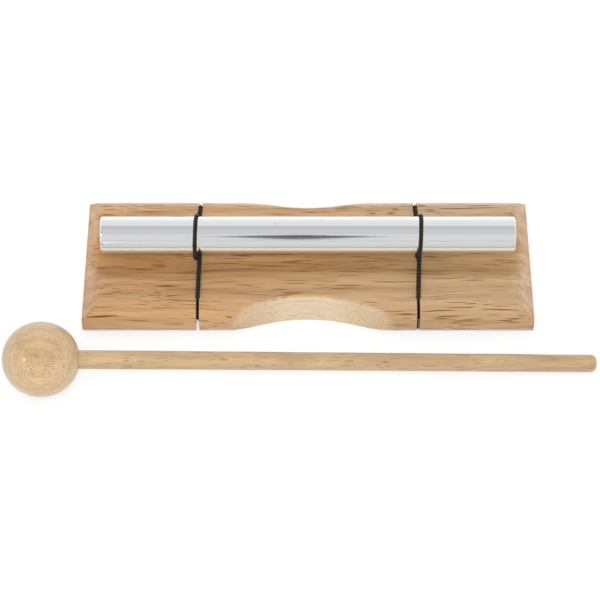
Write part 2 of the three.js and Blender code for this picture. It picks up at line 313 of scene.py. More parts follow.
@dataclass(frozen=True)
class PolishedAluminium:
    """Drawn aluminium bar, polished.

    The eye gets a bright, slightly cool mirror with hair-fine drawing lines along the bar and a few small
    dark pits. Sizes are in millimetres.
    """

    name: str = "polished_drawn_aluminium"
    colour: str = "#F1F2F4"
    pit_colour: str = "#8A8884"
    roughness: float = 0.09
    haze: float = 0.6  # roughness of the faint film that handling leaves on the polish
    line_width: float = 0.45  # real lines are finer, and would not show
    line_length: float = 160.0
    pit_pitch: float = 9.0
    pit_size: float = 0.35

    def build(self) -> bpy.types.Material:
        """Builds the metal's nodes, with its drawing lines along the piece's own X."""
        material, shader, add = new_material(self.name)
        place = add("TexCoord", out="Object")
        spread = tuple(1 / (MM * s) for s in (self.line_length, self.line_width, self.line_width))
        drawn = add("VectorMath", {0: place, 1: spread}, operation="MULTIPLY")
        lines = add("TexNoise", {"Vector": drawn, "Scale": 1.0, "Detail": 2.0})
        pits = add("TexVoronoi", {"Vector": place, "Scale": 1 / (MM * self.pit_pitch)})
        edge = self.pit_size / self.pit_pitch
        clean = add("MapRange", {"Value": pits, "From Min": edge * 0.5, "From Max": edge})
        tones = {"Factor": clean, "A": linear(self.pit_colour), "B": linear(self.colour)}
        colour = add("Mix", tones, out="Result", data_type="RGBA")
        gloss = {"To Min": self.roughness - 0.05, "To Max": self.roughness + 0.05}
        rough = add("MapRange", {"Value": lines, **gloss})
        bump = add("Bump", {"Height": lines, "Strength": 0.05, "Distance": 0.05 * MM})
        feed(shader, {"Base Color": colour, "Roughness": rough, "Normal": bump, "Metallic": 1.0})
        feed(shader, {"Coat Weight": 1.0, "Coat Roughness": self.haze})
        return material


@dataclass(frozen=True)
class FacedAluminium:
    """The same bar where it was cut and faced on a lathe.

    The eye gets a duller grey disc with fine rings round the middle.
    """

    name: str = "lathe_faced_aluminium"
    colour: str = "#D5D6D8"
    roughness: float = 0.3
    ring_pitch: float = 0.5  # millimetres; coarser than the real feed so that it shows

    def build(self) -> bpy.types.Material:
        """Builds the faced end's nodes, with its rings round the piece's own X."""
        material, shader, add = new_material(self.name)
        rings = ring_wave(add, add("TexCoord", out="Object"), self.ring_pitch * MM)
        gloss = {"From Min": -1.0, "To Min": self.roughness - 0.04, "To Max": self.roughness + 0.08}
        rough = add("MapRange", {"Value": rings, **gloss})
        bump = add("Bump", {"Height": rings, "Strength": 0.12, "Distance": 0.03 * MM})
        feed(shader, {"Base Color": linear(self.colour), "Metallic": 1.0})
        feed(shader, {"Roughness": rough, "Normal": bump})
        return material


@dataclass(frozen=True)
class BraidedElastic:
    """Round elastic with a black braided polyester cover.

    The eye gets a soft, almost black cord whose crossing yarns catch a little light on their crowns; that
    light and the shade between the yarns are painted into the colour by the yarn heights.
    """

    name: str = "braided_polyester_elastic"
    # The yarn's brown partly paints the light that the wood throws on the strands; the shade colour is
    # painted shade between the yarns.
    yarn: str = "#332B24"
    shade: str = "#090706"
    roughness: float = 0.8
    fleck_pitch: float = 0.5  # millimetres, about one yarn

    def build(self) -> bpy.types.Material:
        """Builds the cover's nodes from the yarn heights that the cord's mesh carries."""
        material, shader, add = new_material(self.name)
        crown = add("Attribute", out="Fac", attribute_name="yarn_crown")
        place = add("TexCoord", out="Object")
        fleck = add("TexNoise", {"Vector": place, "Scale": 1 / (MM * self.fleck_pitch), "Detail": 2.0})
        # Painted light and shade: the yarn crowns come out lighter and the valleys between them darker.
        mixed = add("Math", {0: fleck, 1: 0.35, 2: crown}, operation="MULTIPLY_ADD")
        tone = add("MapRange", {"Value": mixed, "From Min": 0.1, "From Max": 1.2})
        tones = {"Factor": tone, "A": linear(self.shade), "B": linear(self.yarn)}
        colour = add("Mix", tones, out="Result", data_type="RGBA")
        bump = add("Bump", {"Height": fleck, "Strength": 0.3, "Distance": 0.05 * MM})
        feed(shader, {"Base Color": colour, "Normal": bump, "Roughness": self.roughness})
        feed(shader, {"Specular IOR Level": 0.25, "Sheen Weight": 0.06, "Sheen Roughness": 0.5})
        return material


def new_object(name: str, data: bpy.types.ID) -> bpy.types.Object:
    """Makes an object of its data and links it into the scene."""
    made = bpy.data.objects.new(name, data)
    bpy.context.scene.collection.objects.link(made)
    return made


def mesh_object(
    name: str, points: np.ndarray, faces: Sequence[Sequence[int]], sharp_deg: float = 180.0
) -> bpy.types.Object:
    """Makes a smooth-shaded mesh object from points in millimetres.

    Args:
        name: the piece's name.
        points: one row of X, Y and Z for each corner.
        faces: corner numbers of each face.
        sharp_deg: edges that turn by more than this stay crisp.

    Returns:
        The new object, linked into the scene.
    """
    mesh = bpy.data.meshes.new(name)
    mesh.from_pydata((points * MM).tolist(), [], [list(map(int, f)) for f in faces])
    mesh.validate()
    mesh.shade_smooth()
    if sharp_deg < 180:
        mesh.set_sharp_from_angle(angle=math.radians(sharp_deg))
    return new_object(name, mesh)


def loft(rings: np.ndarray, closed_ends: bool = True) -> Mesh:
    """Skins a row of closed rings, each with the same number of corners.

    Args:
        rings: array of ring, corner and coordinate.
        closed_ends: whether the first and the last ring get a flat cap.

    Returns:
        The corners and the faces.
    """
    count, sides = rings.shape[:2]
    faces = []
    for i in range(count - 1):
        for j in range(sides):
            k = (j + 1) % sides
            faces.append([i * sides + j, i * sides + k, (i + 1) * sides + k, (i + 1) * sides + j])
    if closed_ends:
        faces.append(list(range(sides))[::-1])
        faces.append([(count - 1) * sides + j for j in range(sides)])
    return rings.reshape(-1, 3), faces


def joined(parts: Iterable[Mesh]) -> Mesh:
    """Puts separate meshes together as one.

    Args:
        parts: the corners and the faces of each.

    Returns:
        The corners and the faces of all.
    """
    points, faces = [], []
    for corners, skin in parts:
        start = sum(len(p) for p in points)
        points.append(corners)
        faces += [[start + i for i in face] for face in skin]
    return np.vstack(points), faces


def lathe(profile: Sequence[tuple[float, float]], sides: int) -> Mesh:
    """Turns a profile round X, from one point on the axis to another.

    Args:
        profile: place along X and radius of each step; the first and the last radius are 0.
        sides: steps round the axis.

    Returns:
        The corners and the faces.
    """
    angles = np.linspace(0, 2 * np.pi, sides, endpoint=False)
    across, up = np.cos(angles), np.sin(angles)
    inner = [np.stack([np.full(sides, x), r * across, r * up], axis=1) for x, r in profile[1:-1]]
    points, faces = loft(np.array(inner), closed_ends=False)
    first, last = len(points), len(points) + 1
    points = np.vstack([points, [[profile[0][0], 0, 0], [profile[-1][0], 0, 0]]])
    end = (len(inner) - 1) * sides
    for j in range(sides):
        k = (j + 1) % sides
        faces.append([first, k, j])
        faces.append([last, end + j, end + k])
    return points, faces


def outward(made: bpy.types.Object) -> None:
    """Turns every face of a closed mesh outwards."""
    work = bmesh.new()
    work.from_mesh(made.data)
    bmesh.ops.recalc_face_normals(work, faces=work.faces)
    work.to_mesh(made.data)
    work.free()


def quarter_round(
    radius: float, along: float, rounding: float, heading: int, steps: int
) -> list[tuple[float, float]]:
    """Gives the steps of a rounded edge at one end of a turned piece.

    Args:
        radius: the piece's radius at that end.
        along: where the end is on X.
        rounding: the edge's own radius.
        heading: 1 at the end with the larger X, or -1 at the other.
        steps: how many steps the quarter has.

    Returns:
        Place along X and radius of each step, in order of X.
    """
    made = []
    for i in range(steps + 1):
        turn = math.pi / 2 * i / steps
        back, drop = rounding * (1 - math.sin(turn)), rounding * (1 - math.cos(turn))
        made.append((along - heading * back, radius - drop))
    return made if heading > 0 else made[::-1]


def carve(target: bpy.types.Object, cutters: Iterable[bpy.types.Object]) -> None:
    """Cuts solids out of a piece for good, and throws the solids away.

    Args:
        target: the piece that is cut.
        cutters: the solids, cut one after another.
    """
    for cutter in cutters:
        cut = target.modifiers.new("cut", "BOOLEAN")
        cut.operation = "DIFFERENCE"
        cut.solver = "EXACT"
        cut.object = cutter
        graph = bpy.context.evaluated_depsgraph_get()
        result = bpy.data.meshes.new_from_object(target.evaluated_get(graph))
        target.modifiers.clear()
        old = target.data
        target.data = result
        bpy.data.meshes.remove(old)
        bpy.data.objects.remove(cutter)
    target.data.name = target.name


def rectangle(left: float, right: float, near: float, far: float, over: float) -> np.ndarray:
    """Gives the corners of a level rectangle, from its ends, its edges and its height."""
    return np.array([(left, near, over), (right, near, over), (right, far, over), (left, far, over)], float)


def boxes(name: str, corners: Iterable[tuple[Sequence[float], Sequence[float]]]) -> bpy.types.Object:
    """Makes one cutting object of separate blocks.

    Args:
        name: the cutter's name.
        corners: lowest and highest corner of each block, in millimetres.

    Returns:
        The cutter.
    """
    blocks = []
    for (left, near, low), (right, far, high) in corners:
        blocks.append(loft(np.array([rectangle(left, right, near, far, z) for z in (low, high)])))
    made = mesh_object(name, *joined(blocks))
    outward(made)
    return made


def soft_max(a: np.ndarray, b: np.ndarray, blend: float) -> np.ndarray:
    """Gives the larger of two heights, with the corner between them eased over a blend width."""
    return (a + b + np.sqrt((a - b) ** 2 + blend**2)) / 2


def report(made: bpy.types.Object) -> None:
    """Reports a finished piece."""
    log.info("%s: %d corners", made.name, len(made.data.vertices))


@dataclass
class Board:
    """The board: half-round long edges, bevelled ends, the cove under the rod, finger scoops and kerfs.

    Sizes are in millimetres and repeat the solid's.
    """

    length: float = 195.0
    depth: float = 72.0
    height: float = 15.0
    bevel_inset: float = 6.0
    bevel_drop: float = 4.5
    bevel_ease: float = 0.8  # width over which the bevel runs into the top
    groove_width: float = 24.2
    groove_depth: float = 2.5
    groove_ease: float = 0.25
    scoop_radius: float = 60.0
    front_scoop: float = 10.5
    back_scoop: float = 6.5
    scoop_ease: float = 1.4  # width over which the scoop runs into the half-round edge
    scoop_edge: float = 1.5  # sanded roundness of the scoop's upper edge
    cord_spacing: float = 95.2
    kerf_width: float = 1.3  # closed up a little by the cord's pull
    front_kerf: float = 10.3
    back_kerf: float = 8.0
    under_width: float = 2.4
    under_depth: float = 2.6
    pocket_radius: float = 5.5
    pocket_depth: float = 4.0
    pocket_rounding: float = 0.8
    broken_edge: float = 0.5  # sanded roundness of the ends
    sharp_deg: float = 38.0
    pale_rim: float = 3.2  # width over which the opened wood and its painted light come in from a scoop's outline
    pale_top: float = 1.3  # how far below the top it ends
    pale_end: float = 0.43  # how much of it is lost towards a scoop's two ends
    pale_back: float = 0.7  # how much of it the back scoop has: less, since the back lamp already lights that wall
    wood: LacqueredRubberwood = LacqueredRubberwood(
        "satin_lacquered_rubberwood_board",
        left_tint="#F8F1E2",
        right_tint="#F3FAFF",
        lacquer=1.0,
        lacquer_roughness=0.2,
    )

    @property
    def front(self) -> float:
        """Where the front kerfs end, across the board."""
        return self.front_kerf - self.depth / 2

    @property
    def back(self) -> float:
        """Where the back kerfs end, across the board."""
        return self.depth / 2 - self.back_kerf

    def scoop(self, x: float, depth: float) -> float:
        """Gives how deep a scoop cuts into its long edge at one place along the board.

        Args:
            x: the place along the board.
            depth: the scoop's depth in its middle.

        Returns:
            The depth there, negative where the scoop has run out.
        """
        run = min(abs(x), self.scoop_radius * 5 / 6)  # by there it has long run out
        return depth - self.scoop_radius + math.sqrt(self.scoop_radius**2 - run**2)

    def nose(self, z: np.ndarray | float) -> np.ndarray | float:
        """Gives how far the half-round of a long edge reaches out at some heights."""
        half = self.height / 2
        return self.depth / 2 - half + np.sqrt(np.maximum(half**2 - (z - half) ** 2, 0))

    def edge(self, z: np.ndarray, x: float, depth: float) -> np.ndarray:
        """Gives how far a long edge reaches out from the board's middle line.

        Args:
            z: heights on the edge.
            x: the place along the board.
            depth: the depth of that edge's scoop.

        Returns:
            The reach at each height.
        """
        fall = np.clip((z - (self.height - self.scoop_edge)) / self.scoop_edge, 0, 1)
        eased = self.scoop_edge * (1 - np.sqrt(1 - fall**2))
        wall = self.depth / 2 - self.scoop(x, depth) - eased
        return -soft_max(-self.nose(z), -wall, self.scoop_ease)

    def top(self, y: np.ndarray) -> np.ndarray:
        """Gives the height of the board's top, with the cove under the rod.

        Args:
            y: places across the board.

        Returns:
            The height at each place.
        """
        half = self.groove_width / 2
        radius = (half**2 + self.groove_depth**2) / (2 * self.groove_depth)
        cove = self.height - self.groove_depth + radius - np.sqrt(np.maximum(radius**2 - y**2, 0))
        eased = -soft_max(-cove, np.full_like(y, -self.height), self.groove_ease)
        return np.where(np.abs(y) < radius * 0.98, eased, self.height)

    def section(self, x: float) -> np.ndarray:
        """Gives the outline of the board's section at one place along it.

        Args:
            x: the place along the board.

        Returns:
            Rows of Y and Z, once round.
        """
        turn = np.linspace(0, np.pi, 45)
        z = self.height / 2 * (1 - np.cos(turn))
        front = -self.edge(z, x, self.front_scoop)
        back = self.edge(z, x, self.back_scoop)
        low = np.linspace(front[0], back[0], 24)[1:-1]
        half = self.groove_width / 2
        lands = np.linspace(0, 1, 11)[1:-1]
        cove = half * np.sin(np.linspace(-np.pi / 2, np.pi / 2, 41))
        near = front[-1] + (-half - front[-1]) * lands[:-1]
        far = half + (back[-1] - half) * lands[1:]
        ease = np.linspace(-0.6, 0.6, 7)
        high = np.sort(np.concatenate([near, cove[1:-1], far, -half + ease, half + ease]))
        outline = np.concatenate(
            [
                np.stack([low, np.zeros_like(low)], 1),
                np.stack([back, z], 1),
                np.stack([high, self.top(high)], 1)[::-1],
                np.stack([front, z], 1)[::-1],
            ]
        )
        past = abs(x) - (self.length / 2 - self.bevel_inset)
        cap = self.height - self.bevel_drop / self.bevel_inset * past
        bevelled = -soft_max(-outline[:, 1], np.full(len(outline), -cap), self.bevel_ease)
        outline[:, 1] = np.maximum(bevelled, 0)
        return outline

    def inset(self, outline: np.ndarray, amount: float) -> np.ndarray:
        """Draws a section in from its own edge.

        Args:
            outline: rows of Y and Z, once round.
            amount: how far it is drawn in.

        Returns:
            The smaller outline.
        """
        along = np.roll(outline, -1, 0) - np.roll(outline, 1, 0)
        along /= np.maximum(np.linalg.norm(along, axis=1, keepdims=True), 1e-9)
        return outline + amount * np.stack([-along[:, 1], along[:, 0]], 1)

    def stations(self) -> list[float]:
        """Gives the places along the board where it is drawn, closer together where it changes."""
        half = self.length / 2
        bevel = half - self.bevel_inset
        scoop, near = 40.0, 2.4  # past the scoops, and about the start of the bevel
        right = np.concatenate(
            [
                np.linspace(0, scoop, 58),
                np.linspace(scoop, bevel - near, 34)[1:],
                np.linspace(bevel - near, bevel + near, 17)[1:],
                np.linspace(bevel + near, half - self.broken_edge, 7)[1:],
            ]
        )
        return [-x for x in right[:0:-1]] + list(right)

    def build(self) -> bpy.types.Object:
        """Lofts the board from its sections, and saws its kerfs, underside grooves and knot pockets."""
        half, edge = self.length / 2, self.broken_edge

        def end(heading: int) -> list[np.ndarray]:
            """Gives the sections of one end's broken edge, in order of X."""
            outline = self.section(heading * (half - edge))
            steps = quarter_round(0.0, heading * half, edge, heading, 5)
            return [np.insert(self.inset(outline, -drop), 0, x, axis=1) for x, drop in steps]

        between = [np.insert(self.section(x), 0, x, axis=1) for x in self.stations()]
        made = mesh_object("wooden_board", *loft(np.array(end(-1)[:-1] + between + end(1)[1:])))
        outward(made)
        carve(made, self.saw_cuts())
        made.data.shade_smooth()
        made.data.set_sharp_from_angle(angle=math.radians(self.sharp_deg))
        self.mark_cuts(made)
        return made

    def mark_cuts(self, made: bpy.types.Object) -> None:
        """Marks the scoops' walls, where the cutter opened paler wood that also carries painted light, and
        all that it left unpolished, which gets a slight painted shade.
        """
        bevel = self.length / 2 - self.bevel_inset
        land, rim = 18.0, 2.0  # a scoop's marks start this far out on the board, and come in over this
        middle, ends = 12.0, 20.0  # its paleness fades from here along the board, over this length
        routed, raw = [], []
        for corner in made.data.vertices:
            x, y, z = corner.co / MM
            wall = self.depth / 2 - self.scoop(x, self.front_scoop if y < 0 else self.back_scoop)
            run_out = 1.0 + 0.06 * max(x, 0.0)  # the pale zone and its painted light reach further in to the right
            share = come_in(float(self.nose(z)) - wall + run_out, self.pale_rim)
            share *= come_in(self.height - z, self.pale_top) * come_in(abs(y) - land, rim)
            share *= 1.0 if y < 0 else self.pale_back
            in_cove = come_in(self.groove_width / 2 - abs(y) + 0.5, 1.0) * come_in(bevel - abs(x) + 2.0, 2.0)
            routed.append(share * (1 - self.pale_end * come_in(abs(x) - middle, ends)))
            raw.append(max(share, in_cove))
        for name, marks in (("routed", routed), ("raw", raw)):
            made.data.attributes.new(name, "FLOAT", "POINT").data.foreach_set("value", marks)

    def saw_cuts(self) -> list[bpy.types.Object]:
        """Makes the solids for the kerfs, the underside grooves and the knot pockets."""
        clear, lap = 2.0, 0.2  # how far the saw runs past the wood, and the grooves into the kerfs
        out, over = self.depth / 2 + clear, self.height + clear
        kerf, under = self.kerf_width / 2, self.under_width / 2
        kerfs, grooves, pockets = [], [], []
        for side in Side:
            x = side.value * self.cord_spacing / 2
            kerfs.append(((x - kerf, -out, -clear), (x + kerf, self.front, over)))
            kerfs.append(((x - kerf, self.back, -clear), (x + kerf, out, over)))
            low, high = (x - under, self.front - lap, -clear), (x + under, self.back + lap, self.under_depth)
            grooves.append((low, high))
            profile = [(-clear, 0), (-clear, self.pocket_radius)]
            profile += quarter_round(self.pocket_radius, self.pocket_depth, self.pocket_rounding, 1, 6)
            pocket = mesh_object("pocket", *lathe(profile + [(self.pocket_depth, 0)], 64))
            pocket.data.transform(Matrix.Translation((x * MM, 0, 0)) @ Matrix.Rotation(-math.pi / 2, 4, "Y"))
            outward(pocket)
            pockets.append(pocket)
        return [boxes("kerfs", kerfs), boxes("grooves", grooves), *pockets]

    def dress(self) -> None:
        """Builds the board, finishes it and sets it on the base."""
        made = self.build()
        made.data.materials.clear()
        made.data.materials.append(self.wood.build())
        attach(made, Body.BASE.value)
        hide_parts("base_block")
        report(made)


@dataclass
class SoundRod:
    """The solid bar, polished, with its ends faced and their edges broken. Sizes are in millimetres."""

    length: float = 180.0
    diameter: float = 16.0
    edge: float = 0.9
    height: float = 26.8  # of its axis over the table
    sides: int = 160
    skin: PolishedAluminium = PolishedAluminium()
    face: FacedAluminium = FacedAluminium()

    def build(self) -> bpy.types.Object:
        """Turns the bar about its own axis, and puts it at its height."""
        half, radius = self.length / 2, self.diameter / 2
        flat = np.linspace(1.2, radius - self.edge, 7)[:-1]  # rings of the faced ends
        profile = [(-half, 0.0)] + [(-half, r) for r in flat]
        profile += quarter_round(radius, -half, self.edge, -1, 8)
        profile += [(x, radius) for x in np.linspace(-half + 2, half - 2, 45)]
        profile += quarter_round(radius, half, self.edge, 1, 8)
        profile += [(half, r) for r in flat[::-1]] + [(half, 0.0)]
        made = mesh_object("polished_rod", *lathe(profile, self.sides))
        outward(made)
        made.location.z = self.height * MM
        return made

    def dress(self) -> None:
        """Builds the rod, finishes its skin and its faces, and hangs it on the rod's body."""
        made = self.build()
        for finish in (self.skin, self.face):
            made.data.materials.append(finish.build())
        limit, endways = (self.length / 2 - 0.05) * MM, 0.98  # only the flat of an end lies and faces so
        for polygon in made.data.polygons:
            if abs(polygon.center.x) > limit and abs(polygon.normal.x) > endways:
                polygon.material_index = 1
        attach(made, Body.ROD.value)
        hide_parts("sound_rod")
        report(made)


# How far outside its kerf's line each cord's turn lies, by degrees round the rod from under it up its front.
LEANS = {
    Side.LEFT: ((0, -0.2), (8, 0.0), (38, 1.45), (105, 1.4), (190, 1.0), (360, -0.4)),
    Side.RIGHT: ((0, 0.2), (24, 0.4), (50, 0.8), (110, 1.2), (190, 1.5), (360, 1.1)),
}


@dataclass
class ElasticCord:
    """One elastic cord: its run under the board, its two strands and its turn round the rod.

    Sizes are in millimetres.
    """

    side: Side
    board: Board
    rod: SoundRod
    cover: bpy.types.Material
    diameter: float = 1.8
    under_height: float = 1.4  # of its middle line over the table
    knot_size: Point = (5.0, 6.4, 3.2)
    slit_cord_height: float = 1.1  # of the length of cord laid in the slit, over the table
    slit_cord_end: float = -31.6  # where it ends, across the board
    step: float = 0.22
    sides: int = 24
    yarns: int = 4  # bundles that wind round the cover, half of them each way
    yarn_lay: float = 7.2  # along the cord for one turn of a bundle, coarse enough to show
    yarn_rise: float = 0.45
    flatness: float = 0.62  # of the turn, which its own pull presses on to the rod
    narrowing: float = 0.08  # how much narrower the pull makes the turn

    @property
    def kerf_x(self) -> float:
        """Where the cord's kerfs are along the board."""
        return self.side.value * self.board.cord_spacing / 2

    def corner(self, y: float, z: float, start: float, stop: float) -> list[Point]:
        """Gives points of the cord's bend over an edge of the board.

        Args:
            y: the edge's place across the board.
            z: the edge's height.
            start: the angle where the bend starts, in quarter turns.
            stop: the angle where it ends.

        Returns:
            The points.
        """
        reach, steps = self.diameter / 2, 6
        turns = [math.pi / 2 * (start + (stop - start) * i / steps) for i in range(steps + 1)]
        return [(self.kerf_x, y + reach * math.cos(t), z + reach * math.sin(t)) for t in turns]

    def turn(self) -> list[Point]:
        """Gives points of the one full turn round the rod, from under it up its front and down its back."""
        close = self.rod.diameter / 2 + self.diameter / 2 - 0.04  # pressed on to the rod
        lower = close + self.diameter * 1.1  # under the rod, the turn starts below its own end
        rise, risen = 14, 64  # degrees between which it comes up to the rod
        angles, leans = zip(*LEANS[self.side])
        points = []
        for degrees in (0, 6, 12, 18, 24, 30, 38, *range(46, 360, 8), 360):
            ease = come_in(degrees - rise, risen - rise)
            reach = lower + (close - lower) * ease * ease * (3 - 2 * ease)
            angle = math.radians(degrees)
            aside = self.kerf_x + self.side.value * float(np.interp(degrees, angles, leans))
            points.append((aside, -reach * math.sin(angle), self.rod.height - reach * math.cos(angle)))
        return points

    def route(self) -> tuple[np.ndarray, dict[str, tuple[int, int]]]:
        """Draws the cord's middle line at even steps.

        Returns:
            The points, and the steps where each stretch starts and ends.
        """
        board, x, radius = self.board, self.kerf_x, self.diameter / 2
        front, back, under = board.front, board.back, self.under_height
        land = board.height + radius
        knot = 2.2  # the two ends meet the knot this far from its middle
        bow = self.side.value * 0.35  # the back strand bows out a little over the land behind the rod
        turn = self.turn()
        points = [(x, knot, under), (x, back / 2, under)]
        points += self.corner(back, under + radius, -1, 0) + [(x, back + radius, board.height / 2)]
        points += self.corner(back, board.height, 0, 1)
        points += [(x + bow, 22.0, land), ((x + turn[0][0]) / 2, 10.0, land)]
        points += turn
        aside, _, low = turn[-1]
        for t in (0.25, 0.5, 0.75, 0.92):
            points.append((aside + (x - aside) * t, front * t, low + (land - low) * t))
        points += self.corner(front, board.height, 1, 2) + [(x, front - radius, board.height / 2)]
        points += self.corner(front, under + radius, 2, 3) + [(x, front / 2, under), (x, -knot, under)]
        fine = self.smooth(np.array(points))
        travel = np.concatenate([[0], np.cumsum(np.linalg.norm(np.diff(fine, axis=0), axis=1))])
        count = int(travel[-1] / self.step)
        even = np.linspace(0, travel[-1], count)
        line = np.stack([np.interp(even, travel, fine[:, i]) for i in range(3)], axis=1)

        def where(goal: Point) -> int:
            """Finds the step nearest to a place."""
            return int(np.argmin(np.linalg.norm(line - np.array(goal), axis=1)))

        entry, leave = where((x, back, land)), where((x, front, land))
        under_rod = 1.0  # the turn starts and ends this far behind and before the rod's middle
        first = int(np.argmax((line[:, 1] < under_rod) & (np.arange(count) > entry)))
        last = leave - int(np.argmax(line[leave::-1, 1] > -under_rod))
        spans = {
            "back_run": (0, entry),
            "back_strand": (entry, first),
            "turn": (first, last),
            "front_strand": (last, leave),
            "front_run": (leave, count - 1),
        }
        return line, spans

    @staticmethod
    def smooth(knots: np.ndarray, steps: int = 12) -> np.ndarray:
        """Draws a centripetal curve through points.

        Args:
            knots: the points.
            steps: how many steps each stretch between two points gets.

        Returns:
            The curve's points.
        """
        keep = np.concatenate([[True], np.linalg.norm(np.diff(knots, axis=0), axis=1) > 1e-6])
        p = knots[keep]
        p = np.vstack([2 * p[0] - p[1], p, 2 * p[-1] - p[-2]])
        out = []
        for i in range(1, len(p) - 2):
            a, b, c, d = p[i - 1 : i + 3]
            t1 = np.linalg.norm(b - a) ** 0.5
            t2 = t1 + np.linalg.norm(c - b) ** 0.5
            t3 = t2 + np.linalg.norm(d - c) ** 0.5
            for t in np.linspace(t1, t2, steps, endpoint=False):
                ab = a + (b - a) * (t / t1)
                bc = b + (c - b) * ((t - t1) / (t2 - t1))
                cd = c + (d - c) * ((t - t2) / (t3 - t2))
                abc = ab + (bc - ab) * (t / t2)
                bcd = bc + (cd - bc) * ((t - t1) / (t3 - t1))
                out.append(abc + (bcd - abc) * ((t - t1) / (t2 - t1)))
        out.append(p[-2])
        return np.array(out)

    def tube(self, points: np.ndarray) -> Swept:
        """Sweeps the braided cover along a line.

        Args:
            points: the middle line.

        Returns:
            The rings, and the height of the yarn at each corner from 0 to 1.
        """
        along = np.gradient(points, axis=0)
        along /= np.linalg.norm(along, axis=1, keepdims=True)
        across = np.zeros_like(points)
        first = np.cross(along[0], (0, 0, 1) if abs(along[0][2]) < 0.9 else (0, 1, 0))
        across[0] = first / np.linalg.norm(first)
        for i in range(1, len(points)):
            moved = across[i - 1] - along[i] * np.dot(across[i - 1], along[i])
            across[i] = moved / np.linalg.norm(moved)
        other = np.cross(along, across)
        travel = np.arange(len(points)) * self.step
        angle = np.linspace(0, 2 * np.pi, self.sides, endpoint=False)
        lay = 2 * np.pi * travel[:, None] / self.yarn_lay
        one = np.cos(self.yarns / 2 * (angle[None, :] + lay))
        two = np.cos(self.yarns / 2 * (angle[None, :] - lay))
        crown = np.clip(0.5 + 0.8 * one * two, 0, 1)
        radius = self.diameter / 2 + self.yarn_rise * (crown - 0.7)
        rings = (
            points[:, None, :]
            + across[:, None, :] * (radius * np.cos(angle))[..., None]
            + other[:, None, :] * (radius * np.sin(angle))[..., None]
        )
        return rings, crown

    def pinch(self, rings: np.ndarray) -> np.ndarray:
        """Squeezes the cord flat where it lies inside a kerf."""
        board = self.board
        y, z = rings[..., 1], rings[..., 2]
        along, over, clear = 0.4, 0.6, 0.06  # the squeeze's run-out along and over the kerf, and its play
        inside = np.clip(np.maximum(y - board.back, board.front - y) / along + 0.2, 0, 1)
        inside = inside * np.clip((board.height - z) / over + 0.6, 0, 1)
        room = (board.kerf_width / 2 - clear) / (self.diameter / 2 + 0.3 * self.yarn_rise)
        out = rings.copy()
        out[..., 0] = self.kerf_x + (rings[..., 0] - self.kerf_x) * (1 + (room - 1) * inside)
        return out

    def press(self, rings: np.ndarray) -> np.ndarray:
        """Flattens the cord where it is wound on to the rod."""
        y, z = rings[..., 1], rings[..., 2] - self.rod.height
        radius, out = self.rod.diameter / 2, np.hypot(y, z)
        middle = np.hypot(y.mean(axis=1), z.mean(axis=1))[:, None]
        wound = np.clip((radius + self.diameter * 0.8 - middle) / 0.5, 0, 1)
        share = (radius + (out - radius) * (1 + (self.flatness - 1) * wound)) / np.maximum(out, 1e-6)
        aside = rings[..., 0].mean(axis=1)[:, None]
        across = aside + (rings[..., 0] - aside) * (1 - self.narrowing * wound)
        return np.stack([across, y * share, self.rod.height + z * share], axis=-1)

    def knot(self) -> Swept:
        """Gives the knot's tucked loops, fitted to the size of its solid."""
        t = np.linspace(0, 2 * np.pi, 120)
        loops = (np.sin(t) + 2 * np.sin(2 * t), np.cos(t) - 2 * np.cos(2 * t), -np.sin(3 * t))
        line = np.stack(loops, axis=1)
        line *= (np.array(self.knot_size) - self.diameter) / 2 / np.abs(line).max(axis=0)
        foot = 0.5  # the knot hangs this far over the table
        return self.tube(line + (self.kerf_x, 0, foot + self.knot_size[2] / 2))

    def slit_shade_cord(self) -> Swept:
        """Gives a length of cord laid in the front kerf, a dark piece that paints the slit's shade down to
        its foot.
        """
        start = self.board.front - 1.2  # clear of the cord's own way down
        reach = np.arange(start, self.slit_cord_end, -self.step)
        line = np.array([(self.kerf_x, y, self.slit_cord_height) for y in reach])
        rings, crown = self.tube(line)
        return self.pinch(rings), crown

    def piece(self, label: str, parts: Sequence[Swept]) -> bpy.types.Object:
        """Makes one piece of the cord from swept stretches.

        Args:
            label: what the stretch is called.
            parts: rings and yarn heights of each stretch.

        Returns:
            The piece.
        """
        skins = (loft(rings) for rings, _ in parts)
        made = mesh_object(f"{self.side.name.lower()}_cord_{label}", *joined(skins))
        outward(made)
        crowns = np.concatenate([crown.reshape(-1) for _, crown in parts]).astype(np.float32)
        made.data.attributes.new("yarn_crown", "FLOAT", "POINT").data.foreach_set("value", crowns)
        made.data.materials.append(self.cover)
        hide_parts(f"{self.side.name.lower()}_cord")
        report(made)
        return made

    def dress(self) -> None:
        """Builds the cord's stretches: the turn rides with the rod, and the strands are baked in place,
        reaching up to it.
        """
        points, spans = self.route()
        rings, crown = self.tube(points)
        rings = self.press(self.pinch(rings))

        def stretch(label: str) -> Swept:
            """Takes one stretch of the swept cord."""
            low, high = spans[label]
            return rings[low : high + 1], crown[low : high + 1]

        hidden = [stretch("back_run"), stretch("front_run"), self.knot()]
        if self.side is Side.RIGHT:  # a cord laid in the slit in front of this cord paints it dark down to its foot, as painted shade
            hidden.append(self.slit_shade_cord())
        run = self.piece("under_run", hidden)
        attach(run, Body.BASE.value)
        turn = self.piece("turn", [stretch("turn")])
        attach(turn, Body.SUSPENSION.value)
        front_end = points[spans["front_strand"][1]][1]
        land_end = 13.5  # behind this, the back strand lies on the board
        for label, start, end in (("back_strand", land_end, 1.0), ("front_strand", front_end, -1.0)):
            strand = self.piece(label, [stretch(label)])
            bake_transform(strand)


@dataclass
class Mallet:
    """The mallet: a turned ball on a slim stick, lying on the table. Sizes are in millimetres."""

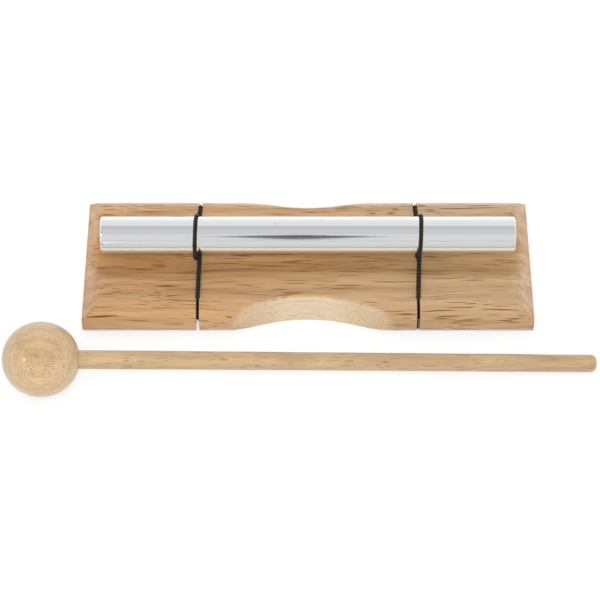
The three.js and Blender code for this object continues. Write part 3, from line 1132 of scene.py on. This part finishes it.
    head_diameter: float = 31.98
    head_length: float = 33.12
    handle_diameter: float = 8.0
    butt_diameter: float = 7.5
    butt_rounding: float = 2.2
    length: float = 252.92
    socket: float = 4.1  # radius of the socket's mouth
    yaw_deg: float = 2.1
    place: Point = (-112.8, -62.9, 16.01)  # of the ball's middle
    head_wood: LacqueredRubberwood = LacqueredRubberwood(
        "satin_lacquered_rubberwood_ball",
        light="#CDB088",
        ground="#C6A77F",
        deep="#B6956B",
        vessel="#A07A50",
        vessel_width=0.34,
        dash_length=2.0,
        line_length=5.0,
        end_grain=1.0,
        lacquer=0.8,
        lacquer_roughness=0.14,
        fibre_length=9.0,
        ring_pitch=2.6,
        ring_depth=0.04,
        pith=(30.0, -28.0),
    )
    handle_wood: LacqueredRubberwood = LacqueredRubberwood(
        "satin_lacquered_rubberwood_stick",
        light="#CCAF88",
        ground="#C3A57E",
        deep="#B7966D",
        vessel="#916C42",
        vessel_width=0.38,
        dash_length=9.0,
        line_length=20.0,
        vessel_share=0.2,
        band_width=3.5,
        right_tint="#EFEEEC",
        tint_reach=200.0,
    )

    def lean(self) -> Matrix:
        """Works out how the mallet leans, on its head and on the edge of its butt.

        Returns:
            The turn that takes the mallet from its own axis to how it lies.
        """
        head, butt = self.head_diameter / 2, self.butt_diameter / 2
        reach = self.length - self.head_length / 2 - self.butt_rounding
        tilt = math.asin(head / math.hypot(reach, butt)) - math.atan(butt / reach)
        return Matrix.Rotation(math.radians(self.yaw_deg), 4, "Z") @ Matrix.Rotation(tilt, 4, "Y")

    def head(self) -> bpy.types.Object:
        """Turns the ball, with the eased mouth of its socket."""
        radius, half = self.head_diameter / 2, self.head_length / 2
        ease = 0.35  # how much wider the mouth opens than the socket
        last = math.pi - math.asin((self.socket + ease) / radius)
        profile = [(-half * math.cos(t), radius * math.sin(t)) for t in np.linspace(0, last, 90)]
        rim = profile[-1][0]
        profile += [(rim - 0.1, self.socket + 0.12), (rim - 0.4, self.socket)]
        profile += [(0.0, self.socket), (-1.0, self.socket), (-1.0, 0.0)]
        return mesh_object("mallet_ball", *lathe(profile, 128), sharp_deg=50)

    def handle(self) -> bpy.types.Object:
        """Turns the stick, from inside the socket to its rounded butt."""
        half = self.head_length / 2
        butt = self.length - half
        start, stop = half, butt - self.butt_rounding
        near, far = self.handle_diameter / 2, self.butt_diameter / 2
        profile = [(-0.5, 0.0), (-0.5, near - 0.3), (0.0, near)]
        profile += [
            (x, near + (far - near) * (x - start) / (stop - start)) for x in np.linspace(start, stop, 70)
        ]
        profile += quarter_round(far, butt, self.butt_rounding, 1, 10)[1:] + [(butt, 0.0)]
        return mesh_object("mallet_stick", *lathe(profile, 72), sharp_deg=60)

    def dress(self) -> None:
        """Builds the ball and the stick, finishes them and lays them on the table."""
        for made, wood, node in (
            (self.head(), self.head_wood, "mallet_head"),
            (self.handle(), self.handle_wood, "mallet_handle"),
        ):
            outward(made)
            made.data.transform(self.lean())
            made.location = Vector(self.place) * MM
            made.data.materials.append(wood.build())
            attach(made, Body.MALLET.value)
            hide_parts(node)
            report(made)


@dataclass
class Studio:
    """The plain pale table, the soft light and the camera."""

    eye_mm: Point = (-3.44, -840.3, 883.97)
    pitch_deg: float = 46.92
    lens_mm: float = 165.6
    fill: float = 0.45  # strength of the room's even light
    table_glow: float = 0.72  # light of the table's own, which keeps it white to the eye
    # Brightness of the tent over the table, from the front (0 degrees) over the top (90) to the back (180).
    tent: tuple[tuple[float, float], ...] = (
        (0, 0.67), (7, 0.69), (20, 0.79), (33, 0.76), (46, 0.78), (55, 0.65), (71, 0.68), (84, 0.63),
        (96, 0.57), (104, 0.7), (111, 0.85), (127, 0.85), (145, 0.91), (164, 1.0), (171, 1.5), (180, 1.9),
    )
    # Each lamp's name, its place and width in metres, its power in watts, and whether polish shows it.
    lamps: tuple[tuple[str, Point, float, float, bool], ...] = (
        ("key_softbox", (-0.05, -0.86, 1.1), 0.5, 8.4, False),
        ("overhead_softbox", (-0.3, -0.1, 1.3), 1.2, 2.6, False),
        ("front_softbox", (0.0, -1.25, 0.5), 0.9, 3.0, False),
        ("back_softbox", (0.1, 1.0, 0.8), 0.7, 2.9, False),
        ("side_softbox", (-1.02, -0.69, 0.69), 0.3, 1.4, True),
        ("end_softbox", (1.2, 0.1, 0.45), 0.6, 2.6, False),
    )
    # Each flat card's name, left end, near and far edge, height, all in millimetres, and its colour; they
    # paint the rod's reflection of the board's front and of the table before it.
    reflection_cards: tuple[tuple[str, float, float, float, float, str], ...] = (
        ("tan_card", -160.0, -3.5, -11.0, 15.5, "#C29C74"),
        ("cream_card", -160.0, -10.2, -18.5, 17.5, "#E4E0D3"),
        ("line_card", -160.0, -18.5, -22.0, 17.5, "#A4A49D"),
        ("grey_card", -92.0, -22.0, -3000.0, 17.5, "#CFCEC8"),  # it stops short of the mallet's ball
    )

    def camera(self) -> None:
        """Sets the camera where the picture was taken from."""
        lens = bpy.data.cameras.new("picture_camera")
        lens.lens = self.lens_mm
        lens.sensor_width = 36.0
        lens.clip_end = 20.0
        made = new_object("picture_camera", lens)
        made.location = Vector(self.eye_mm) * MM
        made.rotation_euler = (math.radians(90 - self.pitch_deg), 0, 0)
        bpy.context.scene.camera = made

    def room(self) -> None:
        """Makes the room: white to the eye, a banded tent in the polish, and even light for all else."""
        world = bpy.data.worlds.new("studio_tent")
        world.use_nodes = True
        bpy.context.scene.world = world
        world.node_tree.nodes.clear()
        add = partial(add_node, world.node_tree)
        facing = add("SeparateXYZ", {0: add("TexCoord", out="Generated")}).node.outputs
        front = add("Math", {0: facing["Y"], 1: -1.0}, operation="MULTIPLY")
        angle = add("Math", {0: facing["Z"], 1: front}, operation="ARCTAN2")
        ramp = add("ValToRGB", {"Fac": add("Math", {0: angle, 1: math.pi}, operation="DIVIDE")})
        stops = ramp.node.color_ramp.elements
        stops[0].position, stops[1].position = 0.0, 1.0
        strength = 2.0  # a ramp's colours end at 1, and the tent is brighter in places
        for degrees, level in self.tent:
            found = [e for e in stops if abs(e.position - degrees / 180) < 1e-4]
            stop = found[0] if found else stops.new(degrees / 180)
            stop.color = (*[level / strength] * 3, 1.0)
        tent = add("Background", {"Color": ramp, "Strength": strength})
        paper = add("Background", {"Color": linear("#FFFFFF"), "Strength": 1.0})
        fill = add("Background", {"Color": linear("#FFFFFF"), "Strength": self.fill})
        path = add("LightPath").node.outputs
        lit = add("MixShader", {0: path["Is Glossy Ray"], 1: fill, 2: tent})
        add("OutputWorld", {"Surface": add("MixShader", {0: path["Is Camera Ray"], 1: lit, 2: paper})})

    def floor(self) -> None:
        """Lays the pale table: white to the eye where it is fully lit, and a shade darker in the shadow."""
        size, under = 6000.0, -0.3
        table = mesh_object("white_table", rectangle(-size, size, -size, size, under), [(0, 1, 2, 3)])
        material = bpy.data.materials.new("matt_white_table_paper")
        material.use_nodes = True
        material.node_tree.nodes.clear()
        add = partial(add_node, material.node_tree)
        plain = add("BsdfDiffuse", {"Color": linear("#F2F2F2")})
        shaded = add("BsdfDiffuse", {"Color": linear("#959595")})
        white = add("AddShader", {0: shaded, 1: add("Emission", {"Strength": self.table_glow})})
        path = add("LightPath").node.outputs
        seen = add("Math", {0: path["Is Camera Ray"], 1: path["Is Glossy Ray"]}, operation="MAXIMUM")
        add("OutputMaterial", {"Surface": add("MixShader", {0: seen, 1: plain, 2: white})})
        table.data.materials.append(material)

    def lamp(self, name: str, place: Point, size: float, power: float, mirrored: bool) -> None:
        """Hangs a soft lamp that looks at the rod.

        Args:
            name: the lamp's name.
            place: where it hangs, in metres.
            size: its width, in metres.
            power: its power, in watts.
            mirrored: whether polish shows it.
        """
        light = bpy.data.lights.new(name, "AREA")
        light.shape = "DISK"
        light.size = size
        light.energy = power
        made = new_object(name, light)
        made.location = place
        made.visible_glossy = mirrored
        aim = Vector((0, 0, 0.02)) - Vector(place)
        made.rotation_euler = aim.to_track_quat("-Z", "Y").to_euler()

    def card(self, name: str, corners: np.ndarray, colour: str) -> None:
        """Sets up a flat one-sided card that shows only in the rod's polish, as a painted reflection.

        Args:
            name: the card's name.
            corners: its outline, in millimetres.
            colour: its colour.
        """
        made = mesh_object(name, corners, [list(range(len(corners)))])
        material, shader, add = new_material("matt_" + name)
        feed(shader, {"Base Color": linear(colour), "Roughness": 0.9})
        behind = add("NewGeometry", out="Backfacing")
        one_sided = add("MixShader", {0: behind, 1: shader.outputs[0], 2: add("BsdfTransparent")})
        feed(material.node_tree.nodes["Material Output"], {"Surface": one_sided})
        made.data.materials.append(material)
        for ray in ("camera", "diffuse", "transmission", "volume_scatter", "shadow"):
            setattr(made, "visible_" + ray, False)

    def cards(self) -> None:
        """Hangs a dark pointed card below the lens, and lays pale ones along the front of the board: they
        paint the dark streak and the bands of the rod's reflection.
        """
        away, lift, wide, tall, right, count = 1200.0, math.radians(36.5), 70.0, 230.0, -5.0, 40
        share = np.concatenate([np.linspace(-1, 1, count), np.linspace(1, -1, count)[1:-1]])
        height = tall * (1 - np.abs(share)) ** 1.2 * np.repeat((1, -2.3), (count, count - 2))
        corners = np.stack(
            [
                wide * share + right,
                -away * math.cos(lift) + height * math.sin(lift),
                27.0 + away * math.sin(lift) + height * math.cos(lift),
            ],
            axis=1,
        )
        self.card("dark_card", corners, "#565052")
        end = 160.0
        for name, left, near, far, over, colour in self.reflection_cards:
            self.card(name, rectangle(left, end, far, near, over), colour)

    def dress(self) -> None:
        """Sets up the whole studio."""
        bpy.context.scene.view_settings.view_transform = "Standard"
        self.camera()
        self.room()
        self.floor()
        for lamp in self.lamps:
            self.lamp(*lamp)
        self.cards()


def main() -> None:
    """Builds the studio and the chime."""
    logging.basicConfig(level=logging.INFO, format="%(message)s")
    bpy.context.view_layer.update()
    Studio().dress()
    board, rod = Board(), SoundRod()
    board.dress()
    rod.dress()
    cover = BraidedElastic().build()
    for side in Side:
        ElasticCord(side, board, rod, cover).dress()
    Mallet().dress()
    bpy.context.view_layer.update()


if __name__ == "__main__":
    main()
